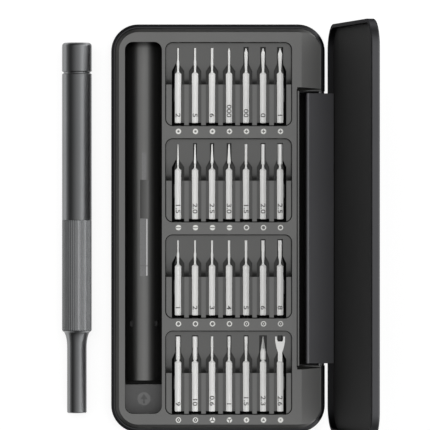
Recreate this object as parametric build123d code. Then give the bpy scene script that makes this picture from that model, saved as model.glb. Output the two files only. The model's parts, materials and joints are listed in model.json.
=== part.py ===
from build123d import *
import math
import os

# Precision screwdriver set: a flat case that opens like a book, a tray with 28 long
# bits, a driver handle with a swivel cap, and the trough that stores it.
# Frame: origin on the table under the middle of the case, +Y away from the user,
# +X towards the lid's hinge, +Z up.  Millimetres.  The lid stands open.

# ---- case and lid ----
case_width = 128.1
case_length = 244.6
corner_radius = 16.2
wall = 2.2
floor_thickness = 0.8
parting_height = 16.2
lid_height = 4.8
lid_skin = 1.0
liner_thickness = 0.5
rim_chamfer = (1.7, 1.1)
fit_gap = 0.1

# ---- hinge along the right side ----
pivot_x = 61.2
pivot_z = 11.0
open_angle = 100.5
opening_half = 82.3
opening_x = 48.6
spine_half = 81.0
spine_inner_x = 58.7
spine_bottom = 1.5
spine_top = 18.9
pin_radius = 1.0
pin_length = 10.8
pin_running_gap = 0.05
block_length = 7.0
block_width = 4.4
block_top = 14.6
swing_radius = 5.12

# ---- tray ----
tray_edge_height = 16.0
tray_top = 17.6
bevel_width = 2.4
slope_start_x = 50.1
slope_drop = 1.7
hollow_top = 7.0
seam_offset = 0.85
seam_width = 0.6
seam_depth = 0.6
catch_y = (55.0, 71.0)

# ---- trough for the driver ----
trough_x = -44.7
trough_width = 22.2
trough_top_y = 111.8
trough_bottom_y = -111.2
pad_top_y = -94.0
trough_floor = 1.3
trough_corner = 4.8
pad_thickness = 1.0
pad_groove = 2.4
rest_y = -57.4
rest_offset = 7.5
upper_magnet = (-45.8, -43.1, 29.2, 45.6)
lower_magnet = (-46.9, -42.35, -22.4, 5.9)
end_magnet = (-46.9, -42.35, -28.8, -22.75)
magnet_slope = 0.75
magnet_drop = 0.29
magnet_window = (-46.9, -41.6, 5.9, 29.2)

# ---- bit pockets ----
pocket_left = -31.2
pocket_width = 75.15
pocket_length = 49.5
pocket_corner = 4.0
first_pocket_top = 111.2
row_pitch = 57.66
pocket_chamfer = 0.5
plateau_depth = 0.35
scoop_length = 25.0
scoop_start_depth = 3.4
scoop_flat_length = 10.0
scoop_end_depth = 6.4
rim_groove_depth = 0.95
first_bit_x = -23.97
bit_pitch = 10.2
bit_axis_z = 15.0
bed_height = 12.75
slim_neck = 0.85
slot_half = 2.12
shelf_half = 3.75
shelf_depth = 1.1
funnel_floor = 9.8
deep_slot_floor = 8.5

# ---- bits ----
bit_length = 45.0
shank_flats = 3.9
shank_length = 30.4
shank_corner = 0.9
bit_tail_from_pocket_top = 48.1

# ---- driver ----
driver_length = 222.4
driver_bottom_y = -110.9
nose_radius = 5.85
nose_length = 39.4
flare_length = 10.0
grip_length = 66.5
grip_radius = 8.9
flute_count = 48
flute_depth = 0.14
tube_length = 88.0
tube_radius = 8.9
groove_width = 0.9
tube_bore = 6.5
core_radius = 6.45
cap_round = 2.0
stored_axis_z = 10.3
socket_radius = 3.6
socket_flats = 4.0
socket_end = 22.0
ball_radius = 0.9
ball_track = 4.6
ball_count = 9

# Bits in each row, left to right: kind, size mark, width of the working end.
bit_rows = [
    [("pentalobe", "2", 0.9), ("pentalobe", "5", 1.2), ("pentalobe", "6", 1.5),
     ("cross", "000", 1.45), ("cross", "00", 2.2), ("cross", "0", 2.4), ("cross", "1", 2.75)],
    [("slot", "15", 1.5), ("slot", "20", 2.0), ("slot", "25", 2.5), ("slot", "30", 3.0),
     ("hex", "15", 1.5), ("hex", "20", 2.0), ("hex", "25", 2.5)],
    [("star", "1", 0.9), ("star", "2", 1.0), ("star", "3", 1.15), ("star", "4", 1.4),
     ("pinned_star", "5", 1.6), ("pinned_star", "6", 2.0), ("pinned_star", "8", 2.4)],
    [("pinned_star", "9", 2.6), ("pinned_star", "10", 2.9), ("three_wing", "06", 1.5),
     ("three_point", "1", 1.8), ("square_cross", "15", 1.9), ("triangle", "23", 2.9),
     ("fork", "26", 6.0)],
]

nodes = {}
half_width = case_width / 2
half_length = case_length / 2
inner_x = half_width - wall


def box_between(x0, x1, y0, y1, z0, z1):
    """Box from its lowest to its highest corner."""
    size = Box(x1 - x0, y1 - y0, z1 - z0)
    return Pos((x0 + x1) / 2, (y0 + y1) / 2, (z0 + z1) / 2) * size


def slab(inset, z0, z1):
    """Plate of the case's outline, drawn in by inset, between two heights."""
    outline = RectangleRounded(
        case_width - 2 * inset, case_length - 2 * inset, corner_radius - inset)
    return Pos(0, 0, z0) * extrude(outline, z1 - z0)


def along_y(points, y0, y1):
    """Prism along Y whose section is a polygon of (x, z) points."""
    face = make_face(Polyline([(x, z) for x, z in points], close=True))
    return Plane((0, y1, 0), x_dir=(1, 0, 0), z_dir=(0, -1, 0)) * extrude(face, y1 - y0)


def rod_y(x, z, radius, y0, y1):
    """Round rod along Y."""
    rod = Cylinder(radius, y1 - y0, rotation=(90, 0, 0))
    return Pos(x, (y0 + y1) / 2, z) * rod


def both_ends(shape):
    """The shape and its mirror image on the other side of the XZ plane."""
    return [shape, mirror(shape, Plane.XZ)]


def edges_at_height(shape, z):
    return shape.edges().filter_by(lambda e: abs(e.bounding_box().min.Z - z) < 1e-4
                                   and abs(e.bounding_box().max.Z - z) < 1e-4)


# ---------------------------------------------------------------- case
def hinge_pin_pair():
    start = opening_half + 6.0 - pin_length
    return both_ends(rod_y(pivot_x, pivot_z, pin_radius, start, start + pin_length))


def build_case():
    body = slab(0, 0, parting_height)
    body = fillet(edges_at_height(body, 0), 1.2)
    body = chamfer(edges_at_height(body, parting_height), *rim_chamfer,
                   reference=body.faces().sort_by(Axis.Z)[-1])
    body -= slab(wall, floor_thickness, parting_height + 1)
    body -= box_between(inner_x - 2, half_width + 1, -opening_half, opening_half,
                        floor_thickness, parting_height + 1)
    corner = box_between(pivot_x, half_width + 1, -half_length, half_length,
                         pivot_z, parting_height + 1)
    corner -= rod_y(pivot_x, pivot_z, swing_radius, -half_length - 1, half_length + 1)
    body -= corner
    pins = hinge_pin_pair()
    body -= pins
    nodes["base_shell"] = body
    nodes["hinge_pins"] = Compound(children=pins)
    block = box_between(inner_x - block_width, inner_x, opening_half,
                        opening_half + block_length, floor_thickness, block_top)
    nodes["hinge_blocks"] = Compound(children=both_ends(block - pins[0]))


# ---------------------------------------------------------------- lid
def opened(shape):
    """Turn a piece drawn on the closed case to where the open lid holds it."""
    return shape.rotate(Axis((pivot_x, 0, pivot_z), (0, 1, 0)), open_angle)


def build_lid():
    top = parting_height + lid_height
    ceiling = top - lid_skin
    shell = slab(0, parting_height, top)
    shell = fillet(edges_at_height(shell, top), 1.0)
    shell = fillet(edges_at_height(shell, parting_height), 0.3)
    shell -= slab(wall, parting_height - 1, ceiling)
    magnet = box_between(-inner_x - 1.2, -inner_x, *catch_y, 16.9, 19.1)
    magnets = both_ends(magnet)
    shell -= magnets
    liner = slab(wall + fit_gap, ceiling - liner_thickness, ceiling)
    tongue_top = ceiling - liner_thickness - fit_gap
    section = [(half_width, spine_bottom), (half_width, parting_height),
               (inner_x, parting_height), (inner_x, tongue_top),
               (inner_x - 0.8, tongue_top), (spine_inner_x, spine_top),
               (spine_inner_x, spine_bottom)]
    spine = along_y(section, -spine_half, spine_half)
    low = spine.edges().filter_by(Axis.Y).filter_by(
        lambda e: e.center().Z < spine_bottom + 0.01)
    spine = fillet(low.sort_by(Axis.X)[:1], 2.4)
    low = spine.edges().filter_by(Axis.Y).filter_by(
        lambda e: e.center().Z < spine_bottom + 0.01)
    spine = fillet(low.sort_by(Axis.X)[-1:], 1.0)
    bore = rod_y(pivot_x, pivot_z, pin_radius + pin_running_gap, spine_half - 4.6, spine_half + 1)
    spine -= both_ends(bore)
    nodes["lid_shell"] = opened(shell)
    nodes["lid_liner"] = opened(liner)
    nodes["hinge_spine"] = opened(spine)
    nodes["lid_magnets"] = Compound(children=[opened(m) for m in magnets])


# ---------------------------------------------------------------- tray
def trough_plan(z0, z1):
    """Prism of the trough's rounded outline between two heights."""
    length = trough_top_y - trough_bottom_y
    middle = (trough_top_y + trough_bottom_y) / 2
    return Pos(trough_x, middle, z0) * extrude(
        RectangleRounded(trough_width, length, trough_corner), z1 - z0)


def trough_cut():
    radius = trough_width / 2
    axis_z = trough_floor + radius
    groove = rod_y(trough_x, axis_z, radius, pad_top_y, trough_top_y + 1)
    groove += box_between(trough_x - radius, trough_x + radius, pad_top_y,
                          trough_top_y + 1, axis_z, tray_top + 1)
    well = box_between(trough_x - radius, trough_x + radius, trough_bottom_y - 1,
                       pad_top_y + pad_groove, trough_floor, tray_top + 1)
    well += box_between(trough_x - radius, trough_x + radius, pad_top_y,
                        pad_top_y + pad_groove, floor_thickness + 0.1, tray_top + 1)
    return (groove + well) & trough_plan(0, tray_top + 1)


def handle_rest_pair():
    """Two low oval bumps on the trough's sides that carry the end of the grip."""
    radius = trough_width / 2
    wall_z = trough_floor + radius - math.sqrt(radius ** 2 - rest_offset ** 2)
    away = math.hypot(rest_offset, stored_axis_z - wall_z)
    rests = []
    for side in (-1, 1):
        normal = (-side * rest_offset / away, 0, (stored_axis_z - wall_z) / away)
        reach = away - grip_radius - 0.12
        foot = (trough_x + side * rest_offset - normal[0], rest_y, wall_z - normal[2])
        bump = Plane(foot, x_dir=(0, 1, 0), z_dir=normal) * extrude(
            SlotOverall(3.7, 2.4), 1 + reach)
        rests.append(fillet(bump.edges().sort_by(Axis(foot, normal))[-4:], 0.35))
    return rests


def trough_magnets():
    """Three magnets in the trough's floor; the lower two slope off at their right edge."""
    top = trough_floor - 0.05
    magnets = [box_between(*upper_magnet, floor_thickness, top)]
    for left, right, low_y, high_y in (lower_magnet, end_magnet):
        section = [(left, floor_thickness), (right, floor_thickness),
                   (right, top - magnet_drop), (right - magnet_slope, top), (left, top)]
        magnets.append(along_y(section, low_y, high_y))
    return magnets


def pocket_top(row):
    return first_pocket_top - row_pitch * row


def bit_x(column):
    return first_bit_x + bit_pitch * column


def pocket_plan(row, grow, depth, taper=0.0):
    """Prism of a pocket's outline, from the tray's top down."""
    centre = (pocket_left + pocket_width / 2, pocket_top(row) - pocket_length / 2, tray_top)
    outline = RectangleRounded(pocket_width + 2 * grow, pocket_length + 2 * grow,
                               pocket_corner + grow)
    down = Plane(centre, x_dir=(1, 0, 0), z_dir=(0, 0, -1))
    return down * extrude(outline, depth, taper=taper)


def pocket_cut(row):
    """Shallow pocket with a finger scoop that curves down towards the bits' shoulders."""
    top = pocket_top(row)
    floor = tray_top - plateau_depth
    scoop_end = top - scoop_length
    curve = []
    for step in range(13):
        part = step / 12
        y = top - scoop_flat_length - (scoop_length - scoop_flat_length) * part
        fall = (scoop_end_depth - scoop_start_depth) * (1 - math.cos(part * math.pi / 2))
        curve.append((y, tray_top - scoop_start_depth - fall))
    side = [(top + 1, tray_top - scoop_start_depth)] + curve
    side += [(scoop_end, floor), (top - pocket_length - 1, floor),
             (top - pocket_length - 1, tray_top + 1), (top + 1, tray_top + 1)]
    face = make_face(Polyline([(y, z) for y, z in side], close=True))
    across = Plane((pocket_left - 1, 0, 0), x_dir=(0, 1, 0), z_dir=(1, 0, 0))
    pocket = (across * extrude(face, pocket_width + 2)) & pocket_plan(row, 0, tray_top)
    lean = math.degrees(math.atan2(pocket_chamfer, rim_groove_depth))
    rim = pocket_plan(row, pocket_chamfer, rim_groove_depth, lean)
    return pocket + (rim - pocket_plan(row, -0.3, tray_top))


def slot_cuts(row, column, kind, width):
    """Everything cut out of the tray for one bit."""
    x = bit_x(column)
    tail = pocket_top(row) - bit_tail_from_pocket_top
    shoulder = tail + shank_length
    tip = tail + bit_length + 0.7
    above = tray_top + 1
    shelf = tray_top - shelf_depth
    scoop_end = pocket_top(row) - scoop_length
    cuts = [box_between(x - slot_half, x + slot_half, tail - 0.1, shoulder + 1.0,
                        bed_height, above),
            box_between(x - shelf_half, x + shelf_half, tail - 0.1, scoop_end, shelf, above),
            box_between(x - shelf_half, x + shelf_half, scoop_end, shoulder + 0.9,
                        funnel_floor, above)]
    reach = {"slot": width / 3, "triangle": 1.85, "fork": 1.0}.get(kind, width / 2)
    wide_tip = width / 2 > slim_neck
    tip_half = reach + 0.45 if wide_tip else 0.6
    right = [(shelf_half, shoulder + 0.9), (tip_half, shoulder + 5.2)]
    if wide_tip:
        right.append((tip_half, tip))
    outline = [(x + dx, y) for dx, y in right] + [(x - dx, y) for dx, y in right[::-1]]
    cuts.append(Pos(0, 0, funnel_floor) * extrude(
        make_face(Polyline(outline, close=True)), above - funnel_floor))
    if column in (0, 6):
        side = -1 if column == 0 else 1
        edge = max(tip_half, 1.5)
        band = [(slot_half, tail - 0.1), (shelf_half, tail - 0.1), (shelf_half, shoulder + 0.9),
                (edge, shoulder + 5.2), (edge - 0.5, shoulder + 5.2), (slot_half, shoulder + 0.5)]
        if column == 6:
            band[4:5] = [(edge, tip), (edge - 0.5, tip), (edge - 0.5, shoulder + 5.0)]
        shade = make_face(Polyline([(x + side * dx, y) for dx, y in band], close=True))
        cuts.append(Pos(0, 0, deep_slot_floor) * extrude(shade, above - deep_slot_floor))
    cuts.append(box_between(x - shelf_half, x + shelf_half, tail - 1.4, tail + 0.3,
                            deep_slot_floor, above))
    return cuts


def bit_magnet(row):
    middle = pocket_top(row) - bit_tail_from_pocket_top + 17.0
    centre_x = bit_x(3)
    return box_between(centre_x - 33, centre_x + 33, middle - 4, middle + 4, 9.4, 12.2)


def catch_magnet_pair():
    return both_ends(box_between(-inner_x + 0.3, -inner_x + 3.3, *catch_y, 10.4, 14.4))


def hinge_seam_cuts():
    """Fine V groove in the tray round the cut-out for the hinge."""
    near = opening_x - seam_offset - seam_width / 2
    side = opening_half + seam_offset + seam_width / 2
    half = seam_width / 2
    rise = seam_depth / half
    top = tray_top + 0.2
    wide = half + 0.2 / rise
    long_cut = along_y([(near - wide, top), (near, tray_top - seam_depth), (near + wide, top)],
                       -side, side)
    low = tray_top - slope_drop
    across = make_face(Polyline([(side - wide - slope_drop / rise, top),
                                 (side, low - seam_depth / 2),
                                 (side + wide + slope_drop / rise, top)], close=True))
    across = Plane((near, 0, 0), x_dir=(0, 1, 0), z_dir=(1, 0, 0)) * extrude(
        across, half_width - near)
    return [long_cut] + both_ends(across)


def build_tray():
    inset = wall + fit_gap
    lean = math.degrees(math.atan2(bevel_width, tray_top - tray_edge_height))
    outline = RectangleRounded(
        case_width - 2 * inset, case_length - 2 * inset, corner_radius - inset)
    tray = slab(inset, floor_thickness, tray_edge_height)
    tray += Pos(0, 0, tray_edge_height) * extrude(
        outline, tray_top - tray_edge_height, taper=lean)
    fall = slope_drop / (inner_x - slope_start_x)
    far_x = half_width + 1
    tray -= along_y([(slope_start_x, tray_top), (far_x, tray_top - fall * (far_x - slope_start_x)),
                     (far_x, tray_top + 1), (slope_start_x, tray_top + 1)],
                    -half_length, half_length)
    cuts = [box_between(opening_x, far_x, -opening_half, opening_half, 0, tray_top + 1)]
    corner = box_between(pivot_x, far_x, -half_length, half_length, pivot_z, tray_top + 1)
    corner -= rod_y(pivot_x, pivot_z, swing_radius - 0.15, -half_length - 1, half_length + 1)
    cuts.append(corner)
    cuts += both_ends(box_between(inner_x - block_width - fit_gap, far_x, opening_half - 1,
                                  opening_half + block_length + fit_gap, 0,
                                  block_top + fit_gap))
    cuts.append(trough_cut())
    rests = handle_rest_pair()
    cuts += rests
    magnets = trough_magnets()
    cuts += [box_between(*plan, 0, 3) for plan in (upper_magnet, lower_magnet, end_magnet)]
    cuts.append(box_between(*magnet_window, floor_thickness + 0.2, 3))
    cuts += hinge_seam_cuts()
    catches = catch_magnet_pair()
    cuts += catches
    for row, specs in enumerate(bit_rows):
        top = pocket_top(row)
        cuts.append(pocket_cut(row))
        for column, (kind, _, width) in enumerate(specs):
            cuts += slot_cuts(row, column, kind, width)
        cuts.append(box_between(pocket_left + 1.5, pocket_left + pocket_width - 1.5,
                                top - pocket_length + 2, top - 2, 0, hollow_top))
        magnet = bit_magnet(row)
        cuts.append(magnet)
        box = magnet.bounding_box()
        cuts.append(box_between(box.min.X, box.max.X, box.min.Y, box.max.Y, 5, 10))
    tray -= cuts
    nodes["bit_tray"] = tray
    nodes["handle_rests"] = Compound(children=rests)
    nodes["trough_magnets"] = Compound(children=magnets)
    nodes["catch_magnets"] = Compound(children=catches)
    nodes["bit_magnets"] = Compound(children=[bit_magnet(row) for row in range(4)])
    pad = trough_plan(trough_floor, trough_floor + pad_thickness) & box_between(
        trough_x - 20, trough_x + 20, trough_bottom_y - 1, pad_top_y - fit_gap, 0, 10)
    nodes["press_pad"] = pad


# ---------------------------------------------------------------- driver
def turned(profile):
    """Solid of revolution about Z from (radius, height) points."""
    face = make_face(Polyline([(r, z) for r, z in profile], close=True))
    return revolve(Plane.XZ * face, Axis.Z)


def ring(inner, outer, z0, z1):
    return turned([(inner, z0), (outer, z0), (outer, z1), (inner, z1)])


def rod(radius, z0, z1):
    return Pos(0, 0, (z0 + z1) / 2) * Cylinder(radius, z1 - z0)


def hexagon(flats, z0, z1):
    section = RegularPolygon(flats / 2, 6, major_radius=False)
    return Pos(0, 0, z0) * extrude(section, z1 - z0)


def nose_piece(grip_start):
    """Nose with a concave flare up to the grip and a spigot inside it."""
    steps = 10
    flare = []
    for step in range(steps + 1):
        part = step / steps
        rise = 1 - math.sqrt(1 - part ** 2)
        flare.append((nose_radius + (tube_radius - nose_radius) * rise,
                      nose_length + flare_length * part))
    spigot_end = grip_start + 12
    nose = turned([(0, 0), (nose_radius - 0.5, 0), (nose_radius, 0.5)] + flare
                  + [(core_radius, grip_start), (core_radius, spigot_end), (0, spigot_end)])
    return nose - rod(socket_radius, -1, socket_end)


def grip_piece(z0, z1):
    """Grip sleeve with fine straight flutes all round."""
    step = math.pi / flute_count
    corners = []
    for i in range(2 * flute_count):
        radius = grip_radius if i % 2 == 0 else grip_radius - flute_depth
        corners.append((radius * math.cos(i * step), radius * math.sin(i * step)))
    outline = make_face(Polyline(corners, close=True))
    sleeve = Pos(0, 0, z0) * extrude(outline, z1 - z0)
    trim = turned([(0, z0), (grip_radius - 0.4, z0), (grip_radius + 0.1, z0 + 0.5),
                   (grip_radius + 0.1, z1 - 0.4), (grip_radius - 0.3, z1), (0, z1)])
    return (sleeve & trim) - rod(tube_bore, z0 - 1, z1 + 1)


def driver_pieces():
    """The driver's pieces, standing on its nose with the axis on Z."""
    grip_start = nose_length + flare_length
    tube_start = grip_start + grip_length
    tube_end = tube_start + tube_length
    cap_start = tube_end + groove_width + fit_gap
    bearing_start = cap_start + 2.1
    bearing_end = bearing_start + 4.0
    ball_z = bearing_start + 2.0
    track = Pos(0, 0, ball_z) * Torus(ball_track, ball_radius + 0.05)
    magnet_start = socket_end - 7.0
    plug_start = tube_end - 14.0

    socket = rod(socket_radius, 0.6, socket_end) - hexagon(socket_flats, 0, magnet_start)
    socket -= rod(2.0, magnet_start, magnet_start + 4.0)
    plug = turned([(0, plug_start), (core_radius, plug_start), (core_radius, tube_end),
                   (8.0, tube_end), (8.0, tube_end + groove_width),
                   (3.0, tube_end + groove_width), (3.0, bearing_start), (2.5, bearing_start),
                   (2.5, bearing_end), (0, bearing_end)])
    screw_bottom = bearing_end - 8.0
    screw = turned([(0, screw_bottom), (1.2, screw_bottom), (1.2, bearing_end),
                    (3.6, bearing_end), (3.6, bearing_end + 1.6), (0, bearing_end + 1.6)])
    cap = turned([(tube_bore, cap_start), (tube_radius - 0.4, cap_start),
                  (tube_radius, cap_start + 0.4), (tube_radius, driver_length),
                  (0, driver_length), (0, bearing_end + 2.6), (tube_bore, bearing_end + 2.6)])
    cap = fillet(edges_at_height(cap, driver_length), cap_round)
    tube = ring(tube_bore, tube_radius, tube_start, tube_end)
    tube = chamfer(edges_at_height(tube, tube_end).sort_by(SortBy.LENGTH)[-1:], 0.4)
    balls = [location * Sphere(ball_radius) for location in PolarLocations(ball_track, ball_count)]
    return {
        "nose_barrel": nose_piece(grip_start),
        "bit_socket": socket,
        "socket_magnet": rod(2.0, magnet_start, magnet_start + 4.0),
        "grip_sleeve": grip_piece(grip_start, tube_start),
        "steel_core": ring(5.0, core_radius, grip_start + 12.1, plug_start),
        "driver_tube": tube,
        "end_plug": plug - rod(1.2, screw_bottom, bearing_end + 1),
        "cap_screw": screw,
        "bearing_inner_ring": ring(2.5, 4.0, bearing_start, bearing_end) - track,
        "bearing_balls": Compound(children=[Pos(0, 0, ball_z) * ball for ball in balls]),
        "bearing_outer_ring": ring(5.2, tube_bore, bearing_start, bearing_end) - track,
        "swivel_cap": cap,
    }


def build_driver():
    """Lay the driver beside the case, as far left as the open lid reaches right."""
    axis_x = grip_radius - nodes["lid_shell"].bounding_box().max.X
    place = Pos(axis_x, driver_bottom_y, grip_radius) * Rot(-90, 0, 0)
    for name, piece in driver_pieces().items():
        nodes[name] = place * piece
    print("driver axis x", round(axis_x, 4))


# ---------------------------------------------------------------- bits
def shank():
    """Hexagonal shank, one rounded corner up, with a domed tail and a domed shoulder."""
    blank = Rot(0, 0, 30) * hexagon(shank_flats, 0, shank_length)
    corners = blank.edges().filter_by(Axis.Z)
    blank = fillet(corners, shank_corner)
    dome = turned([(0, 0), (1.7, 0), (2.2, 0.5), (2.35, 1.2), (2.35, shank_length - 1.9),
                   (2.1, shank_length - 1.2), (1.6, shank_length - 0.5),
                   (0.9, shank_length), (0, shank_length)])
    return blank & dome


def neck(points):
    """Turned neck that starts inside the shank and passes through the points."""
    start = shank_length - 1.0
    return turned([(0, start), (0.85, start), (0.85, shank_length)] + points
                  + [(0, points[-1][1])])


def flat_shape(outline, half_thickness):
    """Plate in the XZ plane from its right-hand outline and its thickness along Z."""
    plan = [(x, z) for x, z in outline] + [(-x, z) for x, z in outline[::-1]]
    side = [(t, z) for t, z in half_thickness] + [(-t, z) for t, z in half_thickness[::-1]]
    plate = extrude(Plane.XZ * make_face(Polyline(plan, close=True)), 5, both=True)
    wedge = extrude(Plane.YZ * make_face(Polyline(side, close=True)), 5, both=True)
    return plate & wedge


def lobed_end(width, lobes, start):
    """Prism with round lobes, such as a star or pentalobe drive."""
    radius = width / 2
    section = Circle(0.74 * radius)
    for location in PolarLocations(0.68 * radius, lobes):
        section += location * Circle(0.32 * radius)
    return Pos(0, 0, start) * extrude(section, bit_length - start)


def winged_end(width, start):
    """Prism with three straight wings."""
    section = Circle(0.2 * width)
    for location in PolarLocations(0.25 * width, 3, start_angle=90):
        section += location * Rectangle(0.5 * width, 0.3 * width)
    return Pos(0, 0, start) * extrude(section, bit_length - start)


def cross_grooves(width, lean):
    """Four grooves that run out up the bit and leave a cross at its end."""
    corner = Pos(width / math.sqrt(2), 0, 0) * Rot(0, 0, 45) * Box(width, width, 14)
    grooves = []
    for quarter in range(4):
        turn = Rot(0, 0, 45 + 90 * quarter)
        grooves.append(turn * Pos(0.14 * width, 0, bit_length) * Rot(0, -lean, 0) * corner)
    return grooves


def cross_bit(width):
    half = width / 2
    end = neck([(0.75, 31.6), (0.85 * half, 36.5), (half, 39.5),
                (half, bit_length - 1.3 * width), (0.15, bit_length)])
    return end - cross_grooves(width, 11)


def square_cross_bit(width):
    half = width / 2
    end = neck([(0.6, 31.6), (0.8 * half, 34.0), (half, 38.0), (half, bit_length - 0.2),
                (half - 0.2, bit_length)])
    return end - cross_grooves(width, 9)


def slot_bit(width):
    """Flat blade on edge, so that its taper shows from above."""
    half = width / 2
    blade = flat_shape([(0.45, 32.5), (half, 34.0), (half, bit_length)],
                       [(0.4, 32.5), (0.66 * half, 34.0), (0.12 * width, bit_length)])
    return neck([(0.5, 31.2), (0.5, 33.2)]) + Rot(0, 0, 90) * blade


def hex_bit(width):
    return neck([(0.6, 31.8), (0.42 * width, 33.2)]) + hexagon(width, 33.0, bit_length)


def lobed_bit(width, lobes):
    root = 1.3 if width > 2.5 else 0.6
    middle = max(0.8, 0.48 * width)
    return neck([(root, 31.6), (middle, 35.0), (middle, 36.6),
                 (max(0.45 * width, 0.4), 38.6)]) + lobed_end(width, lobes, 38.4)


def pinned_star_bit(width):
    return lobed_bit(width, 6) - rod(0.16 * width, bit_length - 1.2, bit_length + 1)


def winged_bit(width):
    return neck([(0.6, 31.8), (0.75, 34.0), (0.75, 38.0), (0.25 * width, 39.5)]) + winged_end(
        width, 38.5)


def triangle_bit(width):
    base = Pos(0, 0, 36.0) * RegularPolygon(0.6 * width, 3, rotation=-90)
    point = Pos(0, 0, bit_length) * RegularPolygon(0.2, 3, rotation=-90)
    return neck([(1.7, 31.4), (1.7, 36.0), (0.9, 38.0)]) + loft([base.face(), point.face()])


def fork_bit(width):
    half = width / 2
    outline = [(1.3, 30.0), (1.3, 35.5), (0.75 * half, 38.5), (0.97 * half, 42.0), (half, bit_length)]
    blade = flat_shape(outline, [(1.0, 30.0), (1.0, 34.8), (0.45, 37.0), (0.45, bit_length)])
    notch = flat_shape([(0.45 * half, 42.0), (0.63 * half, 43.2), (0.63 * half, 46.0)],
                       [(2.0, 41.0), (2.0, 47.0)])
    return neck([(1.1, 31.0), (1.1, 34.0)]) + (blade - notch)


def bit(kind, width):
    makers = {
        "pentalobe": lambda w: lobed_bit(w, 5), "star": lambda w: lobed_bit(w, 6),
        "pinned_star": pinned_star_bit, "cross": cross_bit, "slot": slot_bit, "hex": hex_bit,
        "three_wing": winged_bit, "three_point": winged_bit, "square_cross": square_cross_bit,
        "triangle": triangle_bit, "fork": fork_bit,
    }
    return shank() + makers[kind](width)


def build_bits():
    for row, specs in enumerate(bit_rows):
        tail = pocket_top(row) - bit_tail_from_pocket_top
        for column, (kind, mark, width) in enumerate(specs):
            place = Pos(bit_x(column), tail, bit_axis_z) * Rot(-90, 0, 0)
            nodes[f"bit_{kind}_{mark}"] = place * bit(kind, width)


build_case()
build_lid()
build_tray()
build_driver()
build_bits()

os.makedirs("parts", exist_ok=True)
for name, shape in nodes.items():
    export_step(shape, f"parts/{name}.step")
print(len(nodes), "nodes")
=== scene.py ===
"""Looks of an open precision screwdriver set: metal box, moulded tray, driver and bits.

Lengths in the classes below are millimetres, as on a workshop drawing.  MM turns them
into metres where a mesh is made.
"""
import json
import logging
import math
from dataclasses import dataclass, field
from enum import Enum
from typing import Callable

import bmesh
import bpy
import numpy as np
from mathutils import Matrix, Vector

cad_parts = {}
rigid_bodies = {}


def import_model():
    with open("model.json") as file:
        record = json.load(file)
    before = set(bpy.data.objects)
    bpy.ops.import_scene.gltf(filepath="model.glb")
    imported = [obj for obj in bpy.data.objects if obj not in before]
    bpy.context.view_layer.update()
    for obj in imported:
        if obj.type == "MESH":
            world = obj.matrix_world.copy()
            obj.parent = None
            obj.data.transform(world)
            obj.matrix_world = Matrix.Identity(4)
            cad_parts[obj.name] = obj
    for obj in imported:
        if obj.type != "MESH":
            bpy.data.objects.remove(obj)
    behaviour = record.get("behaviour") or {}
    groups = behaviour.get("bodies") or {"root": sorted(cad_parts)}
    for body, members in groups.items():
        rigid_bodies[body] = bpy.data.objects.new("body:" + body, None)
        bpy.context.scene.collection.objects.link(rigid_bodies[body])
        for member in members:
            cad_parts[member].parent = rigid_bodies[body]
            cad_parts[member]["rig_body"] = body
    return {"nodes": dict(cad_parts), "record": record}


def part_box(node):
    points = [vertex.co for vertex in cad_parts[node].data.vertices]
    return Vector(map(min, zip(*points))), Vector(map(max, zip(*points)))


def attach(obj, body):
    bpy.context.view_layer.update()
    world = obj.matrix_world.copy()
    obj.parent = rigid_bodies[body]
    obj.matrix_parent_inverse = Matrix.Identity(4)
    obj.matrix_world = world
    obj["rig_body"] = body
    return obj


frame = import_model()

LOG = logging.getLogger("screwdriver_set")
MM = 0.001
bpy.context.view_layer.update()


# ------------------------------------------------------------------ colours and nodes
def linear(hex_colour: str) -> tuple[float, float, float, float]:
    """Turn an sRGB hex colour into Blender's linear RGBA.

    Args:
        hex_colour: six hex digits, such as "6b6b6b".

    Returns:
        The linear red, green and blue, and an alpha of 1.
    """
    values = [int(hex_colour[i:i + 2], 16) / 255 for i in (0, 2, 4)]
    red, green, blue = (
        v / 12.92 if v <= 0.04045 else ((v + 0.055) / 1.055) ** 2.4 for v in values)
    return red, green, blue, 1.0


def add_node(tree: bpy.types.NodeTree, kind: str, inputs: dict | None = None,
             **settings: object) -> bpy.types.Node:
    """Add one node, set its properties, and fill or link its inputs.

    Args:
        tree: node tree that receives the node.
        kind: Blender's node type name.
        inputs: input name or index to a constant, or to the socket that feeds it.
        **settings: properties of the node itself.

    Returns:
        The new node.
    """
    node = tree.nodes.new(kind)
    for name, value in settings.items():
        setattr(node, name, value)
    for name, value in (inputs or {}).items():
        if isinstance(value, bpy.types.NodeSocket):
            tree.links.new(value, node.inputs[name])
        else:
            node.inputs[name].default_value = value
    return node


def new_material(name: str) -> tuple[bpy.types.Material, bpy.types.NodeTree]:
    """Make an empty node material.

    Args:
        name: the real material's name.

    Returns:
        The material and its node tree.
    """
    material = bpy.data.materials.new(name)
    material.use_nodes = True
    material.node_tree.nodes.clear()
    return material, material.node_tree


def finish_surface(tree: bpy.types.NodeTree, shader: bpy.types.Node) -> None:
    """Join a shader to the material's output."""
    add_node(tree, "ShaderNodeOutputMaterial", {"Surface": shader.outputs[0]})


def cells(tree: bpy.types.NodeTree, sizes_mm: tuple[float, float, float],
          detail: float) -> object:
    """Noise in cells of a real size, fixed to the piece.

    Args:
        tree: the material's node tree.
        sizes_mm: length of one cell along X, Y and Z.
        detail: number of finer layers of noise.

    Returns:
        The socket of the noise, from 0 to 1.
    """
    place = add_node(tree, "ShaderNodeTexCoord")
    scale = tuple(1 / (size * MM) for size in sizes_mm)
    mapped = add_node(tree, "ShaderNodeMapping",
                      {"Vector": place.outputs["Object"], "Scale": scale})
    node = add_node(tree, "ShaderNodeTexNoise", {
        "Vector": mapped.outputs["Vector"], "Scale": 1.0, "Detail": detail, "Roughness": 0.5})
    return node.outputs["Factor"] if "Factor" in node.outputs else node.outputs["Fac"]


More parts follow.
